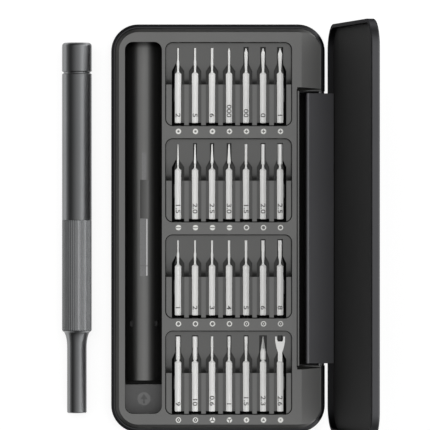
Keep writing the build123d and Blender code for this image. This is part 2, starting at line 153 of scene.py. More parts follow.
def spread(tree: bpy.types.NodeTree, value: object, low: float, high: float) -> object:
    """Spread a 0 to 1 value over low to high, using the middle of its range.

    Args:
        tree: the node tree.
        value: socket that is spread.
        low: result at a quarter.
        high: result at three quarters.

    Returns:
        The result socket.
    """
    node = add_node(tree, "ShaderNodeMapRange",
                    {"Value": value, "From Min": 0.25, "From Max": 0.75,
                     "To Min": low, "To Max": high})
    return node.outputs["Result"]


def tinted(tree: bpy.types.NodeTree, colour: str, factor: object) -> object:
    """Multiply a colour's brightness by a factor.

    Args:
        tree: the node tree.
        colour: six hex digits.
        factor: socket of the factor.

    Returns:
        The socket of the colour.
    """
    node = add_node(tree, "ShaderNodeVectorMath",
                    {0: linear(colour)[:3], "Scale": factor}, operation="SCALE")
    return node.outputs["Vector"]


def bump(tree: bpy.types.NodeTree, height: object, depth_mm: float) -> object:
    """Bump normals from a height.

    Args:
        tree: the node tree.
        height: socket from 0 to 1.
        depth_mm: real height of one.

    Returns:
        The socket of the normals.
    """
    node = add_node(tree, "ShaderNodeBump",
                    {"Height": height, "Strength": 1.0, "Distance": depth_mm * MM})
    return node.outputs["Normal"]


def product(tree: bpy.types.NodeTree, *factors: object) -> object:
    """Multiply sockets or constants together, from left to right.

    Args:
        tree: the node tree.
        *factors: sockets, or numbers after the first.

    Returns:
        The socket of the product.
    """
    result = factors[0]
    for factor in factors[1:]:
        result = add_node(tree, "ShaderNodeMath", {0: result, 1: factor},
                          operation="MULTIPLY").outputs[0]
    return result


def graph(tree: bpy.types.NodeTree, value: object,
          stops: tuple[tuple[float, float], ...]) -> object:
    """Follow straight lines from stop to stop.

    Args:
        tree: the node tree.
        value: socket that is looked up.
        stops: pairs of input and output, with the inputs rising and no output below zero.

    Returns:
        The output socket.
    """
    low, high = stops[0][0], stops[-1][0]
    peak = max(level for _, level in stops)
    share = add_node(tree, "ShaderNodeMapRange",
                     {"Value": value, "From Min": low, "From Max": high})
    ramp = add_node(tree, "ShaderNodeValToRGB", {"Fac": share.outputs["Result"]})
    elements = ramp.color_ramp.elements
    elements.remove(elements[-1])
    for number, (place, level) in enumerate(stops):
        at = (place - low) / (high - low)
        stop = elements[0] if number == 0 else elements.new(at)
        stop.position = at
        stop.color = (level / peak,) * 3 + (1.0,)
    return product(tree, ramp.outputs["Color"], peak)


# ------------------------------------------------------------------ finishes
@dataclass(frozen=True)
class BlastedAnodisedAluminium:
    """Aluminium, bead blasted and then anodised grey.

    Blasting leaves a fine dimpled skin, so highlights are broad and soft, and the dye
    takes a little unevenly over a span of centimetres.  The sealed oxide is a thin clear
    coat, which brightens where the metal turns away.
    """

    name: str
    colour: str
    roughness: float = 0.36
    coat: float = 0.0
    edge_tint: float = 0.3
    grain_mm: float = 0.35  # coarser than real blasting grit, so that it shows
    grain_depth_mm: float = 0.004
    metallic: float = 1.0

    def shade(self, tree: bpy.types.NodeTree) -> object:
        """Brightness of the dye, which clouds a little over some centimetres.

        Args:
            tree: the material's node tree.

        Returns:
            The socket of the brightness factor.
        """
        cloud = cells(tree, (38.0, 38.0, 38.0), 2.0)
        return spread(tree, cloud, 0.96, 1.04)

    def build(self) -> bpy.types.Material:
        """Make the material.

        Returns:
            The finished material.
        """
        material, tree = new_material(self.name)
        grain = cells(tree, (self.grain_mm,) * 3, 3.0)
        shader = add_node(tree, "ShaderNodeBsdfPrincipled", {
            "Base Color": tinted(tree, self.colour, self.shade(tree)),
            "Metallic": self.metallic,
            "Roughness": spread(tree, grain, self.roughness - 0.05, self.roughness + 0.05),
            "Specular Tint": (self.edge_tint,) * 3 + (1.0,),
            "Coat Weight": self.coat,
            "Coat Roughness": 0.25,
            "Normal": bump(tree, grain, self.grain_depth_mm)})
        finish_surface(tree, shader)
        return material


@dataclass(frozen=True)
class BandedAluminium(BlastedAnodisedAluminium):
    """The driver's anodised aluminium, with a painted pale band along each side.

    The bands stand for the reflections of two long strip lamps, which the studio leaves
    out.  Side stops are degrees round the driver from its top towards +X, each with a
    brightness.
    """

    side_stops: tuple[tuple[float, float], ...] = (
        (-75.0, 0.9), (-50.0, 1.8), (-25.0, 0.7), (0.0, 1.0), (25.0, 1.1), (50.0, 2.2),
        (70.0, 0.5))

    def turn(self, tree: bpy.types.NodeTree) -> object:
        """Angle round the driver's axis, from its top towards +X.

        Args:
            tree: the material's node tree.

        Returns:
            The socket of the angle in radians.
        """
        low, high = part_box("driver_tube")
        place = add_node(tree, "ShaderNodeTexCoord")
        middle = ((low.x + high.x) / 2, 0.0, (low.z + high.z) / 2)
        centred = add_node(tree, "ShaderNodeVectorMath", {
            0: place.outputs["Object"], 1: middle}, operation="SUBTRACT")
        axes = add_node(tree, "ShaderNodeSeparateXYZ", {0: centred.outputs["Vector"]})
        angle = add_node(tree, "ShaderNodeMath",
                         {0: axes.outputs["X"], 1: axes.outputs["Z"]}, operation="ARCTAN2")
        return angle.outputs[0]

    def shade(self, tree: bpy.types.NodeTree) -> object:
        """Painted reflections and shade: brightness from the angle round the driver.

        Args:
            tree: the material's node tree.

        Returns:
            The socket of the brightness factor.
        """
        stops = tuple((math.radians(degrees), level) for degrees, level in self.side_stops)
        return product(tree, graph(tree, self.turn(tree), stops), super().shade(tree))


@dataclass(frozen=True)
class FlutedAluminium(BandedAluminium):
    """The grip's aluminium, with one pale and one dark side to each flute.

    The two sides stand for each flute's own shading, and the part that is not metallic
    stands for the light that the milled flutes scatter.
    """

    metallic: float = 0.5
    flutes: int = 48
    contrast: float = 0.62
    side_stops: tuple[tuple[float, float], ...] = (
        (-90.0, 0.6), (0.0, 1.0), (60.0, 3.0), (90.0, 2.0))

    def shade(self, tree: bpy.types.NodeTree) -> object:
        """Painted flute shading: brightness as a sine of the angle times the number of flutes.

        Args:
            tree: the material's node tree.

        Returns:
            The socket of the brightness factor.
        """
        phase = product(tree, self.turn(tree), float(self.flutes))
        wave = add_node(tree, "ShaderNodeMath", {0: phase}, operation="SINE")
        lines = add_node(tree, "ShaderNodeMapRange", {
            "Value": wave.outputs[0], "From Min": -1.0, "From Max": 1.0,
            "To Min": 1.0 - self.contrast, "To Max": 1.0 + self.contrast})
        return product(tree, lines.outputs["Result"], super().shade(tree))


@dataclass(frozen=True)
class InsideLitAluminium(BlastedAnodisedAluminium):
    """Charcoal aluminium with painted light on its inside, the side that is up when the lid is
    open.

    The paler side is painted light, which stands for the light that the open lid's spine
    catches from the side.
    """

    # brightness factor of the painted light on the inside
    inside: float = 3.0

    def shade(self, tree: bpy.types.NodeTree) -> object:
        """Painted light: brightness from the way the surface faces on the open lid.

        Args:
            tree: the material's node tree.

        Returns:
            The socket of the brightness factor.
        """
        place = add_node(tree, "ShaderNodeTexCoord")
        facing = add_node(tree, "ShaderNodeSeparateXYZ", {0: place.outputs["Normal"]})
        inner = add_node(tree, "ShaderNodeMapRange", {
            "Value": facing.outputs["Z"], "From Min": 0.2, "From Max": 0.6,
            "To Min": 1.0, "To Max": self.inside})
        return product(tree, inner.outputs["Result"], super().shade(tree))


@dataclass(frozen=True)
class LacqueredPlastic:
    """Moulded ABS under a satin grey lacquer with fine aluminium flake.

    The mould's spark-eroded texture shows through the lacquer as faint pebbling.
    """

    name: str
    colour: str
    roughness: float = 0.4
    pebble_mm: float = 0.3  # a fine mould texture, drawn a little coarse
    pebble_depth_mm: float = 0.004

    def shade(self, tree: bpy.types.NodeTree) -> object:
        """Brightness of the lacquer, which clouds a little over some centimetres.

        Args:
            tree: the material's node tree.

        Returns:
            The socket of the brightness factor.
        """
        cloud = cells(tree, (26.0, 26.0, 26.0), 3.0)
        return spread(tree, cloud, 0.97, 1.03)

    def build(self) -> bpy.types.Material:
        """Make the material.

        Returns:
            The finished material.
        """
        material, tree = new_material(self.name)
        pebble = cells(tree, (self.pebble_mm,) * 3, 2.0)
        shader = add_node(tree, "ShaderNodeBsdfPrincipled", {
            "Base Color": tinted(tree, self.colour, self.shade(tree)),
            "Metallic": 1.0,
            "Roughness": spread(tree, pebble, self.roughness - 0.05, self.roughness + 0.05),
            "Normal": bump(tree, pebble, self.pebble_depth_mm)})
        finish_surface(tree, shader)
        return material


@dataclass(frozen=True)
class ShadedTrayLacquer(LacqueredPlastic):
    """The tray's lacquer, with the shading of its slots and trough laid on by place.

    It is nearly black in the slots, dark in the funnels under the tips, and a little
    dark on the slopes.  The trough is dark but for one lane along it.  This stands for
    narrow shadows and reflections, which the plain dome leaves out.  Depth stops are
    heights, lane stops are X and end stops are Y, all in mm, each with a brightness.
    """

    depth_stops: tuple[tuple[float, float], ...] = (
        (9.3, 0.02), (9.7, 0.35), (10.7, 0.35), (11.2, 0.8), (14.0, 0.8), (16.6, 0.65),
        (17.2, 1.0))
    lane_stops: tuple[tuple[float, float], ...] = (
        (-49.0, 0.25), (-42.5, 1.5), (-38.0, 0.5), (-33.5, 0.7))
    end_stops: tuple[tuple[float, float], ...] = ((108.5, 1.0), (111.0, 0.4))
    lane_right: float = -33.2
    pocket_right: float = 47.0
    pocket_end: float = 111.6
    window_height: float = 1.15
    window_shade: float = 0.6
    top_height: float = 16.6

    def shade(self, tree: bpy.types.NodeTree) -> object:
        """Painted shade and reflections: brightness of the lacquer from its place on the tray.

        Args:
            tree: the material's node tree.

        Returns:
            The socket of the brightness factor.
        """
        place = add_node(tree, "ShaderNodeTexCoord")
        in_mm = add_node(tree, "ShaderNodeVectorMath",
                         {0: place.outputs["Object"], "Scale": 1 / MM}, operation="SCALE")
        axes = add_node(tree, "ShaderNodeSeparateXYZ", {0: in_mm.outputs["Vector"]})
        # painted shade on the floor of the magnet window's recess
        window = add_node(tree, "ShaderNodeMapRange", {
            "Value": axes.outputs["Z"], "From Min": self.window_height - 0.1,
            "From Max": self.window_height + 0.1, "To Min": self.window_shade, "To Max": 1.0})
        # painted reflection along the trough's lane, painted shade beside it and towards its
        # far end
        lane = product(tree, graph(tree, axes.outputs["X"], self.lane_stops),
                       graph(tree, axes.outputs["Y"], self.end_stops),
                       window.outputs["Result"])
        on_top = add_node(tree, "ShaderNodeMapRange", {
            "Value": axes.outputs["Z"], "From Min": self.top_height - 1.0,
            "From Max": self.top_height})
        trough = add_node(tree, "ShaderNodeMix", {
            0: on_top.outputs["Result"], 2: lane, 3: 1.0})
        right = add_node(tree, "ShaderNodeMath", {
            0: axes.outputs["X"], 1: self.lane_right}, operation="GREATER_THAN")
        left = add_node(tree, "ShaderNodeMath", {
            0: axes.outputs["X"], 1: self.pocket_right}, operation="LESS_THAN")
        reach = add_node(tree, "ShaderNodeMath", {0: axes.outputs["Y"]},
                         operation="ABSOLUTE")
        inside = add_node(tree, "ShaderNodeMath", {
            0: reach.outputs[0], 1: self.pocket_end}, operation="LESS_THAN")
        pockets = product(tree, left.outputs[0], inside.outputs[0])
        deep = add_node(tree, "ShaderNodeMix", {
            0: pockets, 2: 1.0, 3: graph(tree, axes.outputs["Z"], self.depth_stops)})
        both = add_node(tree, "ShaderNodeMix", {
            0: right.outputs[0], 2: trough.outputs[0], 3: deep.outputs[0]})
        return product(tree, both.outputs[0], super().shade(tree))


@dataclass(frozen=True)
class SatinNickelPlatedSteel:
    """Hardened steel, blasted and satin nickel plated: pale, and more matt than mirror.

    The plating scatters some of the light at random, which a shader that is not fully
    metallic stands for.  Faint drawing lines run along the steel.
    """

    name: str
    colour: str
    metallic: float = 0.5
    roughness: float = 0.4
    line_mm: tuple[float, float, float] = (0.16, 18.0, 0.16)

    def build(self) -> bpy.types.Material:
        """Make the material; drawing lines follow from noise stretched along Y.

        Returns:
            The finished material.
        """
        material, tree = new_material(self.name)
        lines = cells(tree, self.line_mm, 2.0)
        cloud = cells(tree, (9.0, 9.0, 9.0), 2.0)
        shader = add_node(tree, "ShaderNodeBsdfPrincipled", {
            "Base Color": tinted(tree, self.colour, spread(tree, cloud, 0.97, 1.0)),
            "Metallic": self.metallic,
            "Roughness": spread(tree, lines, self.roughness - 0.05, self.roughness + 0.06),
            "Normal": bump(tree, lines, 0.001)})
        finish_surface(tree, shader)
        return material


@dataclass(frozen=True)
class MattPlastic:
    """Matt moulded rubber or flocked sheet: dark, even and finely pebbled."""

    name: str
    colour: str
    roughness: float = 0.75
    pebble_mm: float = 0.22
    pebble_depth_mm: float = 0.008
    specular: float = 0.3

    def build(self) -> bpy.types.Material:
        """Make the material.

        Returns:
            The finished material.
        """
        material, tree = new_material(self.name)
        pebble = cells(tree, (self.pebble_mm,) * 3, 2.0)
        cloud = cells(tree, (26.0, 26.0, 26.0), 3.0)
        shader = add_node(tree, "ShaderNodeBsdfPrincipled", {
            "Base Color": tinted(tree, self.colour, spread(tree, cloud, 0.95, 1.05)),
            "Roughness": spread(tree, pebble, self.roughness - 0.06, self.roughness + 0.06),
            "Specular IOR Level": self.specular,
            "Normal": bump(tree, pebble, self.pebble_depth_mm)})
        finish_surface(tree, shader)
        return material


@dataclass(frozen=True)
class PrintedInk:
    """Pad-printed ink: opaque and matt, a little thin where the pad lifted off."""

    name: str
    colour: str

    def build(self) -> bpy.types.Material:
        """Make the material.

        Returns:
            The finished material.
        """
        material, tree = new_material(self.name)
        mottle = cells(tree, (0.35, 0.35, 0.35), 2.0)
        shader = add_node(tree, "ShaderNodeBsdfPrincipled", {
            "Base Color": tinted(tree, self.colour, spread(tree, mottle, 0.9, 1.0)),
            "Roughness": spread(tree, mottle, 0.5, 0.65),
            "Specular IOR Level": 0.3})
        finish_surface(tree, shader)
        return material


class Finish(Enum):
    """The finishes of the set."""

    SHELL = BlastedAnodisedAluminium("blasted anodised aluminium, charcoal", "4c4c4e")
    SPINE = InsideLitAluminium("blasted anodised aluminium, charcoal, painted light inside", "4c4c4e")
    DRIVER = BandedAluminium("blasted anodised aluminium, driver grey", "6d6e6f",
                             0.36, 0.2, 1.0)
    GRIP = FlutedAluminium("fluted anodised aluminium, driver grey", "696a6b",
                           0.24, 0.2, 1.0, 0.35, 0.0008)
    BITS = SatinNickelPlatedSteel("satin nickel plated tool steel", "e8e8e6", 0.08)
    STEEL = SatinNickelPlatedSteel("ground steel", "b4b5b6", 0.9, 0.34)
    MAGNET = SatinNickelPlatedSteel("nickel plated magnet", "8a8a8a", 1.0, 0.3,
                                    (0.5, 0.5, 0.5))
    # a bright strip that is a painted highlight along a magnet's edge
    BRIGHT_NICKEL = SatinNickelPlatedSteel("bright nickel, painted highlight", "dcdcdc", 1.0, 0.3,
                                           (0.5, 0.5, 0.5))
    TRAY = ShadedTrayLacquer("satin grey lacquered ABS", "7e7e7d", 0.34)
    PAD = LacqueredPlastic("soft satin lacquered ABS, press pad", "6e6e6e", 0.45)
    LINER = MattPlastic("dark flocked liner sheet", "252525", 0.8)
    RUBBER = MattPlastic("black silicone rubber", "2a2a2a", 0.7)
    # a black sheet of painted shade, laid in the pad's groove and under the hinge spine
    FOAM = MattPlastic("black sheet of painted shade", "121212", 0.9)
    WHITE_INK = PrintedInk("white pad-printed ink", "e2e2de")
    GREY_INK = PrintedInk("light grey pad-printed ink", "727272")
    ETCH = PrintedInk("dark laser etching", "5e5e5e")


NODE_FINISH = {"hinge_spine": Finish.SPINE}
SLOT_FINISH = {
    "shell": Finish.SHELL, "tray": Finish.TRAY, "pad": Finish.PAD, "liner": Finish.LINER,
    "driver": Finish.DRIVER, "grip": Finish.GRIP, "bit_steel": Finish.BITS,
    "steel": Finish.STEEL, "magnet": Finish.MAGNET, "rubber": Finish.RUBBER,
}
MATERIALS: dict[Finish, bpy.types.Material] = {}


def material_of(choice: Finish) -> bpy.types.Material:
    """Find the material of a finish, made the first time it is asked for.

    Args:
        choice: the finish.

    Returns:
        Its material.
    """
    if choice not in MATERIALS:
        MATERIALS[choice] = choice.value.build()
    return MATERIALS[choice]


# ------------------------------------------------------------------ mesh helpers
def add_object(name: str, data: bpy.types.ID) -> bpy.types.Object:
    """Put a mesh, curve, lamp or camera into the scene.

    Args:
        name: the object's name.
        data: what the object shows.

    Returns:
        The new object.
    """
    thing = bpy.data.objects.new(name, data)
    bpy.context.scene.collection.objects.link(thing)
    return thing


def make_piece(name: str, points: np.ndarray, faces: np.ndarray | list, choice: Finish,
               body: str) -> bpy.types.Object:
    """Put points and faces into a mesh object that rides on a body.

    Args:
        name: the piece's name.
        points: n by 3 array of places in metres.
        faces: corner indices of each face.
        choice: finish of the piece.
        body: CAD body that carries it.

    Returns:
        The new object.
    """
    mesh = bpy.data.meshes.new(name)
    mesh.from_pydata(points.tolist(), [], [tuple(int(i) for i in f) for f in faces])
    mesh.validate()
    mesh.update()
    piece = add_object(name, mesh)
    mesh.materials.append(material_of(choice))
    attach(piece, body)
    LOG.info("%s: %d faces on %s", name, len(mesh.polygons), body)
    return piece


def ring_faces(rows: int, columns: int) -> np.ndarray:
    """Quads of a grid that closes on itself along its columns.

    Args:
        rows: number of grid rows.
        columns: number of points round the loop.

    Returns:
        One row of four corner indices for each quad.
    """
    row, column = np.meshgrid(np.arange(rows - 1), np.arange(columns), indexing="ij")
    here = row * columns + column
    right = row * columns + (column + 1) % columns
    return np.stack([here, right, right + columns, here + columns], -1).reshape(-1, 4)


def washer(inner: Callable[[np.ndarray], np.ndarray], outer: float, count: int,
           thickness: float) -> tuple[np.ndarray, np.ndarray]:
    """Flat closed washer whose hole has any star-shaped outline.

    The section of the washer is a closed loop of four points: hole bottom, rim bottom,
    rim top and hole top.  Each turns through the angle t; the hole's points stand at
    inner(t) from the centre and the rim's at outer.

    Args:
        inner: hole radius as a function of the angle.
        outer: rim radius.
        count: number of points round the loop.
        thickness: height of the washer.

    Returns:
        Points in millimetres and quad faces.
    """
    angle = np.linspace(0, 2 * np.pi, count, endpoint=False)
    hole = inner(angle)
    rim = np.full_like(angle, outer)
    rows = [(hole, 0.0), (rim, 0.0), (rim, thickness), (hole, thickness)]
    points = np.concatenate([
        np.stack([r * np.cos(angle), r * np.sin(angle), np.full_like(angle, z)], -1)
        for r, z in rows])
    faces = ring_faces(len(rows), count)
    last = np.arange(count)
    after = (last + 1) % count
    close = np.stack([3 * count + last, 3 * count + after, after, last], -1)
    return points, np.concatenate([faces, close])


def plate(outline: np.ndarray, thickness: float) -> tuple[np.ndarray, list]:
    """Closed plate: the outline at two heights, joined by one quad a side.

    Args:
        outline: n by 2 array of counter-clockwise (x, y) points.
        thickness: height of the plate.

    Returns:
        Points with their underside at zero, and the faces.
    """
    count = len(outline)
    low = np.column_stack([outline, np.zeros(count)])
    high = np.column_stack([outline, np.full(count, thickness)])
    here = np.arange(count)
    after = (here + 1) % count
    sides = np.stack([here, after, after + count, here + count], -1).tolist()
    return np.concatenate([low, high]), sides + [here[::-1].tolist(), (here + count).tolist()]


# ------------------------------------------------------------------ tray marks
class Symbol(Enum):
    """Drive symbols printed under the bits."""

    PENTALOBE = "pentalobe"
    CROSS = "cross"
    SLOT = "slot"
    HEX = "hex"
    STAR = "star"
    PINNED_STAR = "pinned_star"
    THREE_WING = "three_wing"
    THREE_POINT = "three_point"
    SQUARE_CROSS = "square_cross"
    TRIANGLE = "triangle"
    FORK = "fork"


def polygon_radius(angle: np.ndarray, sides: int, flat: float, turn: float) -> np.ndarray:
    """Radius of a regular polygon: flat distance over the cosine of the angle to its side.

    Args:
        angle: angles at which the radius is wanted.
        sides: number of sides.
        flat: distance from the centre to a side.
        turn: angle of the first side's middle.

    Returns:
        One radius for each angle.
    """
    sector = 2 * np.pi / sides
    local = (angle - turn + sector / 2) % sector - sector / 2
    return flat / np.cos(local)


def lobed_radius(angle: np.ndarray, lobes: int, mean: float, swing: float) -> np.ndarray:
    """Radius that swings round its mean once for each lobe."""
    return mean + swing * np.cos(lobes * (angle - np.pi / 2))


def bars_radius(angle: np.ndarray, bars: int, reach: float, half: float,
                turn: float) -> np.ndarray:
    """Radius of bars that run out from the centre, each cut at its reach and its width.

    Args:
        angle: angles at which the radius is wanted.
        bars: number of bars.
        reach: length of a bar from the centre.
        half: half of a bar's width.
        turn: angle of the first bar.

    Returns:
        One radius for each angle.
    """
    sector = 2 * np.pi / bars
    local = np.abs((angle - turn + sector / 2) % sector - sector / 2)
    side = half / np.maximum(np.sin(local), 1e-6)
    end = reach / np.maximum(np.cos(local), 0.2)
    return np.minimum(side, end)


def ray_radius(angle: np.ndarray, outline: np.ndarray) -> np.ndarray:
    """Radius of a closed outline of (x, y) points that the origin sees all of.

    Each ray from the origin is cut with each side's line, and the nearest cut that lies
    on its side counts: with p + s*e on the side and r*d on the ray, the cross products
    with e and d give r and s.

    Args:
        angle: angles of the rays.
        outline: n by 2 array of the outline's corners.

    Returns:
        One radius for each angle.
    """
    start = outline
    edge = np.roll(outline, -1, 0) - outline
    ray = np.stack([np.cos(angle), np.sin(angle)], -1)
    slope = ray[:, None, 0] * edge[None, :, 1] - ray[:, None, 1] * edge[None, :, 0]
    slope = np.where(np.abs(slope) < 1e-12, 1e-12, slope)
    reach = (start[:, 0] * edge[:, 1] - start[:, 1] * edge[:, 0])[None] / slope
    along = (start[None, :, 0] * ray[:, None, 1] - start[None, :, 1] * ray[:, None, 0]) / slope
    good = (reach > 0) & (along >= -1e-9) & (along <= 1 + 1e-9)
    return np.where(good, reach, np.inf).min(1)


@dataclass
class SymbolPrinter:
    """Printed drive symbols, one under each bit."""

    radius: float = 1.62
    opening: float = 1.15
    fullest: float = 0.95
    ink: float = 0.03
    count: int = 96
    dot_count: int = 24
    dot_hole: float = 0.1

    def hole(self, symbol: Symbol) -> Callable[[np.ndarray], np.ndarray]:
        """Outline of the unprinted hole in a symbol.

        Args:
            symbol: the drive symbol.

        Returns:
            Its radius as a function of the angle.
        """
        up = math.pi / 2
        star = np.array([(0.3, 0.3), (0.0, 1.15), (-0.3, 0.3), (-1.15, 0.0),
                         (-0.3, -0.3), (0.0, -1.15), (0.3, -0.3), (1.15, 0.0)])
        shapes = {
            Symbol.PENTALOBE: lambda a: lobed_radius(a, 5, 0.58, 0.1),
            Symbol.CROSS: lambda a: ray_radius(a, star),
            Symbol.SLOT: lambda a: bars_radius(a, 2, 1.5, 0.2, 0.0),
            Symbol.HEX: lambda a: polygon_radius(a, 6, 0.8, up),
            Symbol.STAR: lambda a: lobed_radius(a, 6, 0.86, 0.12),
            Symbol.PINNED_STAR: lambda a: lobed_radius(a, 6, 0.95, 0.12),
            Symbol.THREE_WING: lambda a: bars_radius(a, 3, 1.5, 0.25, up),
            Symbol.THREE_POINT: lambda a: bars_radius(a, 3, 1.5, 0.25, -up),
            Symbol.SQUARE_CROSS: lambda a: ray_radius(a, 0.9 * star),
            Symbol.TRIANGLE: lambda a: polygon_radius(a, 3, 0.46, -up),
            Symbol.FORK: lambda a: polygon_radius(a, 4, 0.36, 0.0),
        }
        return shapes[symbol]

    def dot(self, symbol: Symbol) -> float:
        """Radius of the dot in the middle of a symbol that has one."""
        return 0.22 if symbol is Symbol.FORK else 0.36

    def build(self, symbol: Symbol, x: float, y: float, z: float, name: str) -> None:
        """Print one symbol.

        Args:
            symbol: the drive symbol.
            x: X of its centre in millimetres.
            y: Y of its centre in millimetres.
            z: height of its underside in millimetres.
            name: the piece's name.
        """
        outer = self.radius
        hole = self.hole(symbol)
        points, faces = washer(
            lambda a: np.minimum(self.opening * hole(a), self.fullest * outer), outer,
            self.count, self.ink)
        parts = [(points, faces)]
        if symbol in (Symbol.PINNED_STAR, Symbol.FORK):
            dot, dot_faces = washer(lambda a: np.full_like(a, self.dot_hole),
                                    self.dot(symbol), self.dot_count, self.ink)
            parts.append((dot, dot_faces))
        joined = np.concatenate([p for p, _ in parts])
        offsets = np.cumsum([0] + [len(p) for p, _ in parts])
        all_faces = np.concatenate([f + o for (_, f), o in zip(parts, offsets)])
        place = np.array([x, y, z])
        make_piece(name, (joined + place) * MM, all_faces, Finish.WHITE_INK, "case")


@dataclass
class TrayMarks:
    """Everything added to the tray: symbols, the pad's arrow, black strips of painted shade and
    a strip of painted highlight.
    """

    lift: float = 0.005
    gap_below_bit: float = 5.0
    symbol_shift: float = 0.25
    disc_radius: float = 3.95
    disc_shift: float = 0.1
    disc_count: int = 288
    ink: float = 0.03
    groove_shade_gap: float = 0.15
    groove_shade_inset: float = 0.3
    groove_shade_length: float = 2.3
    groove_shade_thickness: float = 0.3
    groove_shade_height: float = 0.92
    pit_shade_left: float = 48.8
    pit_shade_inset: float = 2.4
    pit_shade_overhang: float = 0.9
    pit_shade_thickness: float = 0.2
    pit_shade_height: float = 0.82
    highlight_from: float = 0.8
    highlight_to: float = 0.1
    highlight_span: tuple[float, float] = (-28.6, 5.7)
    highlight_thickness: float = 0.1
    highlight_height: float = 1.16
    printer: SymbolPrinter = field(default_factory=SymbolPrinter)

    def symbols(self) -> None:
        """Print each bit's symbol below its tail."""
        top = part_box("bit_tray")[1].z / MM
        for node in sorted(frame["nodes"]):
            kind = node[4:].rsplit("_", 1)[0]
            if not node.startswith("bit_") or kind not in {s.value for s in Symbol}:
                continue
            low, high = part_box(node)
            x = (low.x + high.x) / 2 / MM + self.symbol_shift
            y = low.y / MM - self.gap_below_bit
            self.printer.build(Symbol(kind), x, y, top + self.lift, f"symbol_{node[4:]}")

    def arrow(self) -> None:
        """Disc with an arrow left out of it on the press pad."""
        low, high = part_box("press_pad")
        centre = np.array([(low.x + high.x) / 2, (low.y + high.y) / 2, high.z]) / MM
        centre += (self.disc_shift, 0.0, self.lift)
        outline = np.array([(0.0, 3.1), (-2.2, -0.3), (-0.55, -0.3), (-0.55, -2.8),
                            (0.55, -2.8), (0.55, -0.3), (2.2, -0.3)])
        points, faces = washer(lambda a: ray_radius(a, outline), self.disc_radius,
                               self.disc_count, self.ink)
        make_piece("pad_arrow", (points + centre) * MM, faces, Finish.GREY_INK, "case")

    def strip(self, name: str, x: tuple[float, float], y: tuple[float, float], z: float,
              thickness: float, choice: Finish) -> None:
        """Lay a flat rectangular strip.

        Args:
            name: the piece's name.
            x: left and right ends in millimetres.
            y: near and far ends in millimetres.
            z: height of its underside in millimetres.
            thickness: its thickness in millimetres.
            choice: its finish.
        """
        outline = np.array([(x[0], y[0]), (x[1], y[0]), (x[1], y[1]), (x[0], y[1])])
        points, faces = plate(outline, thickness)
        make_piece(name, (points + (0.0, 0.0, z)) * MM, faces, choice, "case")

    def groove_shade(self) -> None:
        """Black strip of painted shade along the bottom of the groove between the trough and
        the pad.
        """
        low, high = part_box("press_pad")
        near = high.y / MM + self.groove_shade_gap
        self.strip("trough_groove_shade", (low.x / MM + self.groove_shade_inset, high.x / MM - self.groove_shade_inset),
                   (near, near + self.groove_shade_length), self.groove_shade_height, self.groove_shade_thickness,
                   Finish.FOAM)

    def pit_shade(self) -> None:
        """Black strip of painted shade on the box's floor under the hinge spine."""
        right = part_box("base_shell")[1].x / MM - self.pit_shade_inset
        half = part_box("hinge_spine")[1].y / MM + self.pit_shade_overhang
        self.strip("hinge_pit_shade", (self.pit_shade_left, right), (-half, half), self.pit_shade_height,
                   self.pit_shade_thickness, Finish.FOAM)

    def edge(self) -> None:
        """Bright nickel strip along the right edge of the trough's lower magnets: a painted
        highlight on that edge.
        """
        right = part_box("trough_magnets")[1].x / MM
        self.strip("magnet_edge_highlight", (right - self.highlight_from, right - self.highlight_to),
                   self.highlight_span, self.highlight_height, self.highlight_thickness,
                   Finish.BRIGHT_NICKEL)

    def build(self) -> None:
        """Add everything."""
        self.symbols()
        self.arrow()
        self.groove_shade()
        self.pit_shade()
        self.edge()


